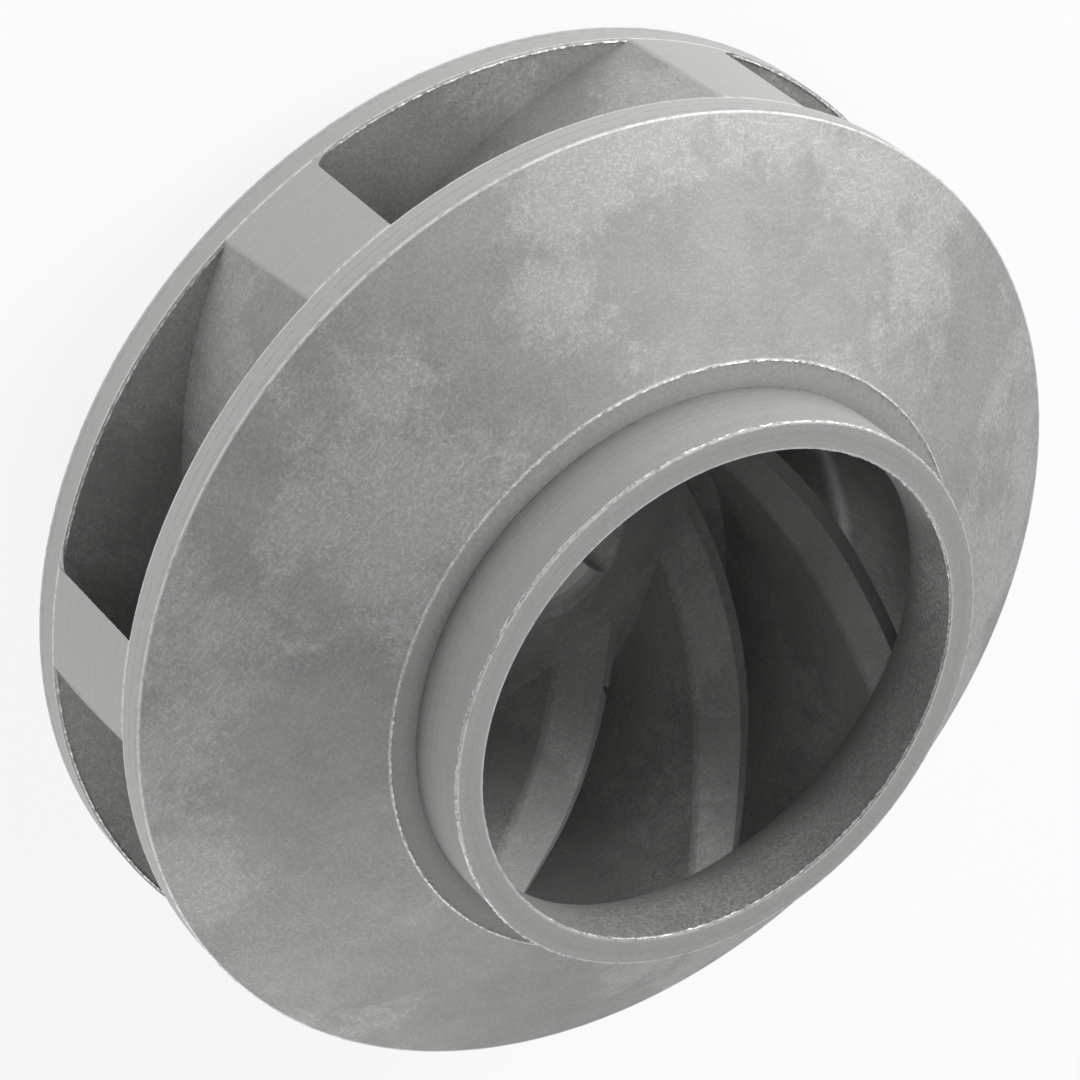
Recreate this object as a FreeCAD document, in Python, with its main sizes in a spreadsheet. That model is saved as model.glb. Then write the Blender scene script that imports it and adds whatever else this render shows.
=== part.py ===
import FreeCAD, Part
import math
import os

import Sketcher

# Closed centrifugal pump impeller, cast in one piece.
# Frame: millimetres, +Z up along the shaft axis, origin at the centre of the rear hub face.
# The eye opens upwards and the wheel turns anticlockwise seen from the eye.

# Driving sizes in millimetres and degrees, each written once.
# A curve ratio is the radius of one arc of a vane's suction face to the radius of the rim.
SIZES = {
    "outer_diameter": 200.0,
    "back_rim": 5.6,
    "outlet_width": 27.9,
    "front_rim": 6.1,
    "shroud_outer_angle": 30.7,
    "shoulder_ledge": 5.3,
    "neck_diameter": 112.6,
    "neck_height": 14.4,
    "neck_wall": 5.15,
    "eye_turn_radius": 14.9,
    "shroud_inner_angle": 28.0,
    "hub_height": 16.0,
    "hub_nose_fillet": 1.5,
    "hub_flank_angle": 22.0,
    "hub_foot_radius": 25.0,
    "hub_foot_reach": 48.0,
    "boss_diameter": 52.0,
    "boss_height": 12.0,
    "boss_root_slope": 2.5,
    "shaft_bore": 28.0,
    "bore_chamfer": 1.2,
    "key_width": 8.0,
    "key_depth": 2.4,
    "key_direction": 115.0,
    "vane_count": 7,
    "vane_phase": -0.75,
    "vane_angle": 27.0,
    "outer_curve_ratio": 0.942,
    "outer_curve_sweep": 40.5,
    "middle_curve_ratio": 0.643,
    "middle_curve_sweep": 44.2,
    "inner_curve_ratio": 0.399,
    "vane_thickness": 9.4,
    "vane_draft": 1.8,
    "nose_floor_radius": 32.4,
    "nose_slope": 25.9,
    "nose_lip_chamfer": 5.0,
    "nose_heel_radius": 2.5,
    "service_hole": 4.2,
    "service_hole_reach": 40.6,
    "service_hole_direction": 67.6,
}

# Cutting shapes run past the metal by this much, so that no faces coincide
OVERSHOOT = 4.0
# Two lengths closer than this are the same length
CLOSE = 0.01
# The front shroud's cone climbs this far from the rim to the shoulder
SHOULDER_RISE = ("((Sizes.outer_diameter - Sizes.neck_diameter) / 2 - Sizes.shoulder_ledge)"
                 " * tan(Sizes.shroud_outer_angle)")


def new_sheet(doc):
    """Write the driving sizes into the spreadsheet and name each cell."""
    sheet = doc.addObject("Spreadsheet::Sheet", "Sizes")
    for row, (name, value) in enumerate(SIZES.items(), start=1):
        sheet.set(f"A{row}", name)
        sheet.set(f"B{row}", str(value))
        sheet.setAlias(f"B{row}", name)
    doc.recompute()
    return sheet


def shoulder_rise(sheet):
    """Work out how far the front shroud's cone climbs from the rim to the shoulder."""
    reach = (sheet.outer_diameter - sheet.neck_diameter) / 2 - sheet.shoulder_ledge
    return reach * math.tan(math.radians(sheet.shroud_outer_angle))


def new_body(doc, name):
    """Add an empty body."""
    body = doc.addObject("PartDesign::Body", name)
    body.Label = name
    return body


def new_sketch(body, name, role, height=None):
    """Add a sketch on one of the body's own origin planes, raised by the expression in height."""
    sketch = body.newObject("Sketcher::SketchObject", name)
    plane = next(item for item in body.Origin.OriginFeatures if item.Role == role)
    sketch.AttachmentSupport = [(plane, "")]
    sketch.MapMode = "FlatFace"
    if height:
        sketch.setExpression("AttachmentOffset.Base.z", height)
    return sketch


def line(sketch, start, end):
    """Draw a straight edge between two (x, y) points and return its number."""
    segment = Part.LineSegment(FreeCAD.Vector(*start, 0), FreeCAD.Vector(*end, 0))
    return sketch.addGeometry(segment, False)


def arc(sketch, centre, radius, start, end):
    """Draw an arc anticlockwise between two angles in radians and return its number."""
    circle = Part.Circle(FreeCAD.Vector(*centre, 0), FreeCAD.Vector(0, 0, 1), radius)
    return sketch.addGeometry(Part.ArcOfCircle(circle, start, end), False)


def polygon(sketch, corners):
    """Draw straight edges round the corners, joined end to end, and return their numbers."""
    edges = [line(sketch, a, b) for a, b in zip(corners, corners[1:] + corners[:1])]
    for edge, following in zip(edges, edges[1:] + edges[:1]):
        sketch.addConstraint(Sketcher.Constraint("Coincident", edge, 2, following, 1))
    return edges


def level(sketch, edges):
    """Hold edges parallel to the sketch's horizontal axis."""
    for edge in edges:
        sketch.addConstraint(Sketcher.Constraint("Horizontal", edge))


def plumb(sketch, edges):
    """Hold edges parallel to the sketch's vertical axis."""
    for edge in edges:
        sketch.addConstraint(Sketcher.Constraint("Vertical", edge))


def drive(sketch, expression, kind, *target):
    """Add a dimension and tie its value to the spreadsheet."""
    number = sketch.addConstraint(Sketcher.Constraint(kind, *target))
    sketch.setExpression(f"Constraints[{number}]", expression)


def revolved(body, sketch, name, kind="PartDesign::Revolution"):
    """Turn a sketch all the way round the vertical axis."""
    feature = body.newObject(kind, name)
    feature.Profile = sketch
    feature.ReferenceAxis = (sketch, ["V_Axis"])
    feature.Angle = 360.0
    return feature


def rounded(body, base, name, edges, expression):
    """Round the listed edges of a feature by a radius from the spreadsheet."""
    feature = body.newObject("PartDesign::Fillet", name)
    feature.Base = (base, edges)
    feature.setExpression("Radius", expression)
    return feature


def bevelled(body, base, name, edges, expression):
    """Bevel the listed edges of a feature by a size from the spreadsheet."""
    feature = body.newObject("PartDesign::Chamfer", name)
    feature.Base = (base, edges)
    feature.setExpression("Size", expression)
    return feature


def edge_names(shape, wanted):
    """Name the edges of a shape for which the wanted test holds."""
    return [f"Edge{number}" for number, edge in enumerate(shape.Edges, start=1) if wanted(edge)]


def circle_at(radius, height):
    """Make a test for a circular edge round the axis, of that radius and at that height."""
    def wanted(edge):
        box = edge.BoundBox
        flat = abs(box.ZMin - height) < CLOSE and abs(box.ZMax - height) < CLOSE
        return flat and abs(box.XMax - radius) < CLOSE and abs(box.YMax - radius) < CLOSE
    return wanted


def make_envelope(doc, sheet):
    """Turn the outside of the casting: boss, back shroud, rim, cone, shoulder and neck."""
    body = new_body(doc, "Envelope")
    sketch = new_sketch(body, "EnvelopeSection", "XZ_Plane")
    boss = sheet.boss_diameter / 2
    rim = sheet.outer_diameter / 2
    neck = sheet.neck_diameter / 2
    shoulder = neck + sheet.shoulder_ledge
    rim_top = sheet.boss_height + sheet.back_rim + sheet.outlet_width + sheet.front_rim
    shoulder_top = rim_top + shoulder_rise(sheet)
    face = shoulder_top + sheet.neck_height
    base, boss_side, back, edge, cone, step, side, front, axis = polygon(sketch, [
        (0, 0),
        (boss, 0),
        (boss, sheet.boss_height),
        (rim, sheet.boss_height),
        (rim, rim_top),
        (shoulder, shoulder_top),
        (neck, shoulder_top),
        (neck, face),
        (0, face),
    ])
    sketch.addConstraint(Sketcher.Constraint("Coincident", base, 1, -1, 1))
    level(sketch, [base, back, step, front])
    plumb(sketch, [boss_side, edge, side, axis])
    drive(sketch, "Sizes.boss_diameter / 2", "DistanceX", base, 1, base, 2, boss)
    drive(sketch, "Sizes.boss_height", "DistanceY", boss_side, 1, boss_side, 2, sheet.boss_height)
    drive(sketch, "Sizes.outer_diameter / 2", "DistanceX", -1, 1, edge, 1, rim)
    drive(sketch, "Sizes.back_rim + Sizes.outlet_width + Sizes.front_rim",
          "DistanceY", edge, 1, edge, 2, rim_top - sheet.boss_height)
    drive(sketch, "Sizes.neck_diameter / 2 + Sizes.shoulder_ledge",
          "DistanceX", -1, 1, step, 1, shoulder)
    drive(sketch, SHOULDER_RISE, "DistanceY", cone, 1, cone, 2, shoulder_rise(sheet))
    drive(sketch, "Sizes.neck_diameter / 2", "DistanceX", -1, 1, side, 1, neck)
    drive(sketch, "Sizes.neck_height", "DistanceY", side, 1, side, 2, sheet.neck_height)
    turned = revolved(body, sketch, "TurnedOutside")
    doc.recompute()
    roots = edge_names(turned.Shape, circle_at(boss, sheet.boss_height))
    bevelled(body, turned, "BossRoot", roots, "Sizes.boss_root_slope")
    return body


def make_channel(doc, sheet):
    """Turn the space inside the shrouds: the eye, its turn and the flow channel over the hub."""
    body = new_body(doc, "Channel")
    sketch = new_sketch(body, "ChannelSection", "XZ_Plane")
    rim = sheet.outer_diameter / 2
    eye = sheet.neck_diameter / 2 - sheet.neck_wall
    floor = sheet.boss_height + sheet.back_rim
    outlet_top = floor + sheet.outlet_width
    top = outlet_top + sheet.front_rim + shoulder_rise(sheet) + sheet.neck_height + OVERSHOOT
    hub_face = sheet.boss_height + sheet.hub_height
    slope = math.radians(sheet.shroud_inner_angle)
    turn = sheet.eye_turn_radius
    turn_x = eye + turn
    turn_y = outlet_top + (rim - turn_x) * math.tan(slope) + turn / math.cos(slope)
    turn_end = (turn_x - turn * math.sin(slope), turn_y - turn * math.cos(slope))
    flank = math.radians(sheet.hub_flank_angle)
    foot = sheet.hub_foot_radius
    foot_x = sheet.hub_foot_reach
    foot_end = (foot_x - foot * math.sin(flank), floor + foot - foot * math.cos(flank))
    nose_x = foot_end[0] - (hub_face - foot_end[1]) / math.tan(flank)

    hub = line(sketch, (0, hub_face), (nose_x, hub_face))
    hub_flank = line(sketch, (nose_x, hub_face), foot_end)
    hub_foot = arc(sketch, (foot_x, floor + foot), foot, 1.5 * math.pi - flank, 1.5 * math.pi)
    ground = line(sketch, (foot_x, floor), (rim + OVERSHOOT, floor))
    outside = line(sketch, (rim + OVERSHOOT, floor), (rim + OVERSHOOT, outlet_top))
    lip = line(sketch, (rim + OVERSHOOT, outlet_top), (rim, outlet_top))
    shroud = line(sketch, turn_end, (rim, outlet_top))
    eye_turn = arc(sketch, (turn_x, turn_y), turn, math.pi, 1.5 * math.pi - slope)
    wall = line(sketch, (eye, turn_y), (eye, top))
    mouth = line(sketch, (eye, top), (0, top))
    axis = line(sketch, (0, top), (0, hub_face))
    for joint in ((hub, 2, hub_flank, 1), (ground, 2, outside, 1), (outside, 2, lip, 1),
                  (lip, 2, shroud, 2), (wall, 2, mouth, 1), (mouth, 2, axis, 1), (axis, 2, hub, 1)):
        sketch.addConstraint(Sketcher.Constraint("Coincident", *joint))
    for joint in ((hub_flank, 2, hub_foot, 1), (hub_foot, 2, ground, 1),
                  (shroud, 1, eye_turn, 2), (eye_turn, 1, wall, 1)):
        sketch.addConstraint(Sketcher.Constraint("Tangent", *joint))
    sketch.addConstraint(Sketcher.Constraint("PointOnObject", hub, 1, -2))
    level(sketch, [hub, ground, lip, mouth])
    plumb(sketch, [outside, wall, axis])
    drive(sketch, "Sizes.boss_height + Sizes.hub_height", "DistanceY", -1, 1, hub, 1, hub_face)
    drive(sketch, "Sizes.boss_height + Sizes.back_rim", "DistanceY", -1, 1, ground, 1, floor)
    drive(sketch, "Sizes.hub_foot_reach", "DistanceX", -1, 1, ground, 1, foot_x)
    drive(sketch, "Sizes.hub_foot_radius", "Radius", hub_foot, foot)
    drive(sketch, "-Sizes.hub_flank_angle", "Angle", hub_flank, -flank)
    drive(sketch, "Sizes.outlet_width", "DistanceY", outside, 1, outside, 2, sheet.outlet_width)
    drive(sketch, "Sizes.outer_diameter / 2", "DistanceX", -1, 1, lip, 2, rim)
    sketch.addConstraint(Sketcher.Constraint("DistanceX", lip, 2, lip, 1, OVERSHOOT))
    drive(sketch, "-Sizes.shroud_inner_angle", "Angle", shroud, -slope)
    drive(sketch, "Sizes.eye_turn_radius", "Radius", eye_turn, turn)
    drive(sketch, "Sizes.neck_diameter / 2 - Sizes.neck_wall",
          "DistanceX", -1, 1, wall, 1, eye)
    drive(sketch, f"Sizes.outlet_width + Sizes.front_rim + {SHOULDER_RISE}"
          f" + Sizes.neck_height + {OVERSHOOT}", "DistanceY", ground, 1, wall, 2, top - floor)
    turned = revolved(body, sketch, "TurnedChannel")
    doc.recompute()
    nose = edge_names(turned.Shape, circle_at(nose_x, hub_face))
    rounded(body, turned, "HubNose", nose, "Sizes.hub_nose_fillet")
    return body


def vane_arcs(sheet):
    """Work out the three tangent arcs of a vane's suction face, from the rim inwards.

    Each arc is its centre, its radius and its first and last directions in radians. The first
    starts past the rim and the last ends where it comes nearest to the axis.
    """
    rim = sheet.outer_diameter / 2
    turn = math.radians(sheet.vane_phase + sheet.vane_angle)
    phase = math.radians(sheet.vane_phase)
    ratios = (sheet.outer_curve_ratio, sheet.middle_curve_ratio, sheet.inner_curve_ratio)
    radii = [ratio * rim for ratio in ratios]
    sweeps = (math.radians(sheet.outer_curve_sweep), math.radians(sheet.middle_curve_sweep))
    x = rim * math.cos(phase) - radii[0] * math.cos(turn)
    y = rim * math.sin(phase) - radii[0] * math.sin(turn)
    arcs = []
    start = turn - 2 * OVERSHOOT / radii[0]
    for radius, following, sweep in zip(radii, radii[1:], sweeps):
        turn += sweep
        arcs.append(((x, y), radius, start, turn))
        x += (radius - following) * math.cos(turn)
        y += (radius - following) * math.sin(turn)
        start = turn
    nearest = math.atan2(-y, -x)
    if nearest < start:
        nearest += 2 * math.pi
    arcs.append(((x, y), radii[-1], start, nearest))
    return arcs


def point_on(centre, radius, angle):
    """Find the point of a circle in a direction in radians."""
    return (centre[0] + radius * math.cos(angle), centre[1] + radius * math.sin(angle))


def make_vanes(doc, sheet):
    """Pad one vane, draft it, cut its nose back to a cone, ease the nose and repeat it."""
    body = new_body(doc, "Vanes")
    body.AllowCompound = True
    floor = sheet.boss_height + sheet.back_rim
    crown = sheet.outlet_width + sheet.front_rim + shoulder_rise(sheet)
    root = "Sizes.boss_height + Sizes.back_rim"
    section = new_sketch(body, "VaneSection", "XY_Plane", f"{root} - {OVERSHOOT}")
    arcs = vane_arcs(sheet)
    thickness = sheet.vane_thickness
    for centre, radius, start, end in arcs:
        arc(section, centre, radius, start, end)
        arc(section, centre, radius + thickness, start, end)
    centre, radius, tip, _ = arcs[0]
    line(section, point_on(centre, radius, tip), point_on(centre, radius + thickness, tip))
    centre, radius, _, inner = arcs[-1]
    line(section, point_on(centre, radius, inner), point_on(centre, radius + thickness, inner))
    pad = body.newObject("PartDesign::Pad", "Vane")
    pad.Profile = section
    pad.setExpression("Length",
                      f"Sizes.outlet_width + Sizes.front_rim + {SHOULDER_RISE} + {OVERSHOOT}")
    doc.recompute()
    draft = body.newObject("PartDesign::Draft", "VaneDraft")
    outer = [f"Face{number}" for number, face in enumerate(pad.Shape.Faces, start=1)
             if face.Surface.TypeId == "Part::GeomCylinder"
             and any(abs(face.Surface.Radius - radius - thickness) < CLOSE
                     for _, radius, _, _ in arcs)]
    bottom = next(f"Face{number}" for number, face in enumerate(pad.Shape.Faces, start=1)
                  if face.BoundBox.ZMax < floor)
    draft.Base = (pad, outer)
    draft.NeutralPlane = (pad, [bottom])
    draft.setExpression("Angle", "Sizes.vane_draft")
    doc.recompute()

    slope = math.radians(sheet.nose_slope)
    low = floor - 2 * OVERSHOOT
    high = floor + crown + OVERSHOOT
    floor_radius = sheet.nose_floor_radius
    sketch = new_sketch(body, "NoseSection", "XZ_Plane")
    bottom, nose, top, axis = polygon(sketch, [
        (0, low),
        (floor_radius - (floor - low) * math.tan(slope), low),
        (floor_radius + (high - floor) * math.tan(slope), high),
        (0, high),
    ])
    sketch.addConstraint(Sketcher.Constraint("PointOnObject", bottom, 1, -2))
    level(sketch, [bottom, top])
    plumb(sketch, [axis])
    drive(sketch, f"{root} - {2 * OVERSHOOT}", "DistanceY", -1, 1, bottom, 1, low)
    drive(sketch, f"Sizes.nose_floor_radius - {2 * OVERSHOOT} * tan(Sizes.nose_slope)",
          "DistanceX", bottom, 1, bottom, 2, floor_radius - (floor - low) * math.tan(slope))
    drive(sketch, "90 - Sizes.nose_slope", "Angle", nose, math.pi / 2 - slope)
    drive(sketch, f"Sizes.outlet_width + Sizes.front_rim + {SHOULDER_RISE} + {3 * OVERSHOOT}",
          "DistanceY", nose, 1, nose, 2, high - low)
    groove = revolved(body, sketch, "NoseCut", "PartDesign::Groove")
    doc.recompute()
    if not groove.Shape.Volume < draft.Shape.Volume - CLOSE:
        raise RuntimeError("the nose cut misses the vane")

    edges = nose_edges(groove.Shape, sheet, "Part::GeomCylinder")
    heel = rounded(body, groove, "NoseHeel", edges, "Sizes.nose_heel_radius")
    doc.recompute()
    edges = nose_edges(heel.Shape, sheet, "Part::GeomCone")
    bevelled(body, heel, "NoseLip", edges, "Sizes.nose_lip_chamfer")
    doc.recompute()

    pattern = body.newObject("PartDesign::PolarPattern", "VaneRing")
    pattern.TransformMode = "Whole shape"
    pattern.Axis = (sketch, ["V_Axis"])
    pattern.Angle = 360.0
    pattern.setExpression("Occurrences", "Sizes.vane_count")
    body.Tip = pattern
    return body


def nose_edges(shape, sheet, side):
    """Name the edges where the nose cone meets the vane's faces of one kind."""
    names = []
    for number, edge in enumerate(shape.Edges, start=1):
        faces = shape.ancestorsOfType(edge, Part.Face)
        nose = [face for face in faces if is_nose(face, sheet)]
        others = [face for face in faces if not is_nose(face, sheet)]
        if len(nose) == 1 and others[0].Surface.TypeId == side:
            names.append(f"Edge{number}")
    return names


def is_coaxial(face):
    """Tell whether a round face is centred on the shaft axis."""
    centre = face.Surface.Center
    return math.hypot(centre.x, centre.y) < CLOSE


def is_nose(face, sheet):
    """Tell the cone that cuts the vane noses by its slope."""
    if face.Surface.TypeId != "Part::GeomCone" or not is_coaxial(face):
        return False
    return abs(abs(face.Surface.SemiAngle) - math.radians(sheet.nose_slope)) < CLOSE / 10


def make_bore(doc, sheet):
    """Turn the shaft bore with a 45 degree chamfer at each mouth."""
    body = new_body(doc, "ShaftBore")
    sketch = new_sketch(body, "BoreSection", "XZ_Plane")
    bore = sheet.shaft_bore / 2
    chamfer = sheet.bore_chamfer
    hub_face = sheet.boss_height + sheet.hub_height
    mouth = bore + chamfer + OVERSHOOT
    bottom, rear, wall, front, top, axis = polygon(sketch, [
        (0, -OVERSHOOT),
        (mouth, -OVERSHOOT),
        (bore, chamfer),
        (bore, hub_face - chamfer),
        (mouth, hub_face + OVERSHOOT),
        (0, hub_face + OVERSHOOT),
    ])
    sketch.addConstraint(Sketcher.Constraint("PointOnObject", bottom, 1, -2))
    level(sketch, [bottom, top])
    plumb(sketch, [wall, axis])
    drive(sketch, f"{OVERSHOOT}", "DistanceY", bottom, 1, -1, 1, OVERSHOOT)
    drive(sketch, f"Sizes.shaft_bore / 2 + Sizes.bore_chamfer + {OVERSHOOT}",
          "DistanceX", bottom, 1, bottom, 2, mouth)
    drive(sketch, "Sizes.shaft_bore / 2", "DistanceX", -1, 1, wall, 1, bore)
    drive(sketch, "Sizes.bore_chamfer", "DistanceY", -1, 1, wall, 1, chamfer)
    drive(sketch, "Sizes.boss_height + Sizes.hub_height - Sizes.bore_chamfer",
          "DistanceY", -1, 1, wall, 2, hub_face - chamfer)
    drive(sketch, f"Sizes.shaft_bore / 2 + Sizes.bore_chamfer + {OVERSHOOT}",
          "DistanceX", top, 2, top, 1, mouth)
    drive(sketch, f"Sizes.boss_height + Sizes.hub_height + {OVERSHOOT}",
          "DistanceY", -1, 1, top, 1, hub_face + OVERSHOOT)
    revolved(body, sketch, "TurnedBore")
    return body


def make_keyway(doc, sheet):
    """Draw the keyway as a block that runs through the hub beside the bore."""
    body = new_body(doc, "Keyway")
    sketch = new_sketch(body, "KeySection", "XY_Plane", f"{-OVERSHOOT}")
    reach = sheet.shaft_bore / 2 + sheet.key_depth
    half = sheet.key_width / 2
    near, side, far, back = polygon(sketch, [(0, -half), (reach, -half), (reach, half), (0, half)])
    level(sketch, [near, far])
    plumb(sketch, [side, back])
    sketch.addConstraint(Sketcher.Constraint("PointOnObject", near, 1, -2))
    drive(sketch, "Sizes.shaft_bore / 2 + Sizes.key_depth", "DistanceX", near, 1, near, 2, reach)
    drive(sketch, "Sizes.key_width", "DistanceY", side, 1, side, 2, 2 * half)
    drive(sketch, "Sizes.key_width / 2", "DistanceY", near, 1, -1, 1, half)
    sketch.setExpression("AttachmentOffset.Rotation.Angle", "Sizes.key_direction")
    pad = body.newObject("PartDesign::Pad", "KeyBlock")
    pad.Profile = sketch
    pad.setExpression("Length", f"Sizes.boss_height + Sizes.hub_height + {2 * OVERSHOOT}")
    return body


def make_service_hole(doc):
    """Place the drill for the small hole beside the hub, parallel to the axis."""
    drill = doc.addObject("Part::Cylinder", "ServiceHole")
    drill.setExpression("Radius", "Sizes.service_hole / 2")
    drill.setExpression("Height", f"Sizes.boss_height + Sizes.back_rim + {4 * OVERSHOOT}")
    drill.setExpression("Placement.Base.x",
                        "Sizes.service_hole_reach * cos(Sizes.service_hole_direction)")
    drill.setExpression("Placement.Base.y",
                        "Sizes.service_hole_reach * sin(Sizes.service_hole_direction)")
    drill.setExpression("Placement.Base.z", f"{-OVERSHOOT}")
    return drill


def cut(doc, name, base, tool):
    """Take one shape out of another."""
    feature = doc.addObject("Part::Cut", name)
    feature.Base = base
    feature.Tool = tool
    return feature


def check(doc):
    """Stop when a feature has failed."""
    for item in doc.Objects:
        if "Invalid" in item.State or "Error" in item.State:
            raise RuntimeError(f"{item.Name} failed: {item.State}")


def check_casting(casting):
    """Stop when the casting isn't one sound solid."""
    shape = casting.Shape
    if shape.isNull() or not shape.isValid() or len(shape.Solids) != 1:
        raise RuntimeError(f"{casting.Label} isn't one sound solid")


def main():
    """Build the impeller and write its one casting."""
    doc = FreeCAD.newDocument("PumpImpeller")
    sheet = new_sheet(doc)
    envelope = make_envelope(doc, sheet)
    channel = make_channel(doc, sheet)
    vanes = make_vanes(doc, sheet)
    cores = cut(doc, "Cores", channel, vanes)
    blank = cut(doc, "Blank", envelope, cores)
    tools = doc.addObject("Part::MultiFuse", "MachinedHoles")
    tools.Shapes = [make_bore(doc, sheet), make_keyway(doc, sheet), make_service_hole(doc)]
    casting = cut(doc, "Casting", blank, tools)
    casting.Label = "impeller"
    doc.recompute()
    check(doc)
    check_casting(casting)
    os.makedirs("parts", exist_ok=True)
    casting.Shape.exportStep("parts/impeller.step")


main()
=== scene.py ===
"""Looks of a closed pump impeller, cast in grey iron and turned on its rims and neck."""

import logging
import math
from dataclasses import dataclass
from enum import Enum

import bmesh
import bpy
from mathutils import Matrix, Vector


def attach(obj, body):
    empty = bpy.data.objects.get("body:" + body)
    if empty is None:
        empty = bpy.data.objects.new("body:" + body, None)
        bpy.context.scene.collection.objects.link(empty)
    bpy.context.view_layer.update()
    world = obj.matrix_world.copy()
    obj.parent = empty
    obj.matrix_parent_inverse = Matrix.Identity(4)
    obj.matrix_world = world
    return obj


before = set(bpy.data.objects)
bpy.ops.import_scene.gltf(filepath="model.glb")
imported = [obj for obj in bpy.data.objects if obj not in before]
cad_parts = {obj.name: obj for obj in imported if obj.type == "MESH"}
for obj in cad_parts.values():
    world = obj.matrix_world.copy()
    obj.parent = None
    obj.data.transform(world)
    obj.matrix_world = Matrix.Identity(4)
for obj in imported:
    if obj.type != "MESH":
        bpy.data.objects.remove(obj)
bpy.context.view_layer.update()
LOG = logging.getLogger("impeller")
MM = 0.001


class Blend(Enum):
    """Ways in which one colour or value is laid over another."""

    MIX = "MIX"
    MULTIPLY = "MULTIPLY"


@dataclass(frozen=True)
class Wheel:
    """Sizes of the casting in millimetres, as the drawing has them."""

    outer_radius: float = 100.0
    back_face: float = 12.0
    outlet_floor: float = 17.6
    outlet_roof: float = 45.5
    rim_top: float = 51.6
    shoulder: float = 74.4
    neck_radius: float = 56.3
    eye_radius: float = 51.15
    front_face: float = 88.8
    bore_radius: float = 14.0
    shoulder_radius: float = 61.6
    vane_count: int = 7
    vane_phase: float = -0.75
    vane_angle: float = 27.0
    vane_foot: float = 9.3
    curve_radii: tuple[float, ...] = (94.2, 64.3, 39.9)
    curve_sweeps: tuple[float, ...] = (40.5, 44.2, 47.0)
    hole_reach: float = 40.6
    hole_direction: float = 67.6
    hole_radius: float = 2.1
    hole_floor: float = 18.7

    @property
    def pitch(self) -> float:
        """Give the angle in degrees from one vane to the next."""
        return 360.0 / self.vane_count

    def vane_arcs(self) -> list[tuple[float, float, float, float, float]]:
        """Work out the tangent arcs of the first vane's suction face.

        Returns:
            For each arc, from the rim inwards, its centre's x and y and its radius in
            millimetres, and its first direction and its sweep in degrees.
        """
        turn = self.vane_phase + self.vane_angle
        first = self.curve_radii[0]
        phase = math.radians(self.vane_phase)
        x = self.outer_radius * math.cos(phase) - first * math.cos(math.radians(turn))
        y = self.outer_radius * math.sin(phase) - first * math.sin(math.radians(turn))
        arcs = []
        following = self.curve_radii[1:] + (0.0,)
        for radius, smaller, sweep in zip(self.curve_radii, following, self.curve_sweeps):
            arcs.append((x, y, radius, turn, sweep))
            turn += sweep
            x += (radius - smaller) * math.cos(math.radians(turn))
            y += (radius - smaller) * math.sin(math.radians(turn))
        return arcs


def linear(colour: str) -> tuple[float, float, float, float]:
    """Turn an sRGB hex colour into linear values.

    Args:
        colour: Six hex digits, such as "8c8c8a".

    Returns:
        Linear red, green and blue, and an alpha of 1.
    """
    parts = [int(colour[i:i + 2], 16) / 255 for i in (0, 2, 4)]
    lin = [c / 12.92 if c <= 0.04045 else ((c + 0.055) / 1.055) ** 2.4 for c in parts]
    return (lin[0], lin[1], lin[2], 1.0)


def per_mm(size: float) -> float:
    """Give the texture scale at which one feature of a pattern is about size millimetres wide."""
    return 1.0 / (size * MM)


def add_node(tree: bpy.types.NodeTree, kind: str, settings: dict | None = None,
             links: dict | None = None) -> bpy.types.Node:
    """Add a shader node with its settings and links.

    Args:
        tree: The material's node tree.
        kind: The node's type, such as "ShaderNodeTexNoise".
        settings: Attribute names, or input names or numbers, with their values.
        links: Input names or numbers, with the output sockets that feed them.

    Returns:
        The new node.
    """
    node = tree.nodes.new(kind)
    for name, value in (settings or {}).items():
        if isinstance(name, str) and hasattr(node, name):
            setattr(node, name, value)
        else:
            node.inputs[name].default_value = value
    for name, socket in (links or {}).items():
        tree.links.new(socket, node.inputs[name])
    return node


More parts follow.
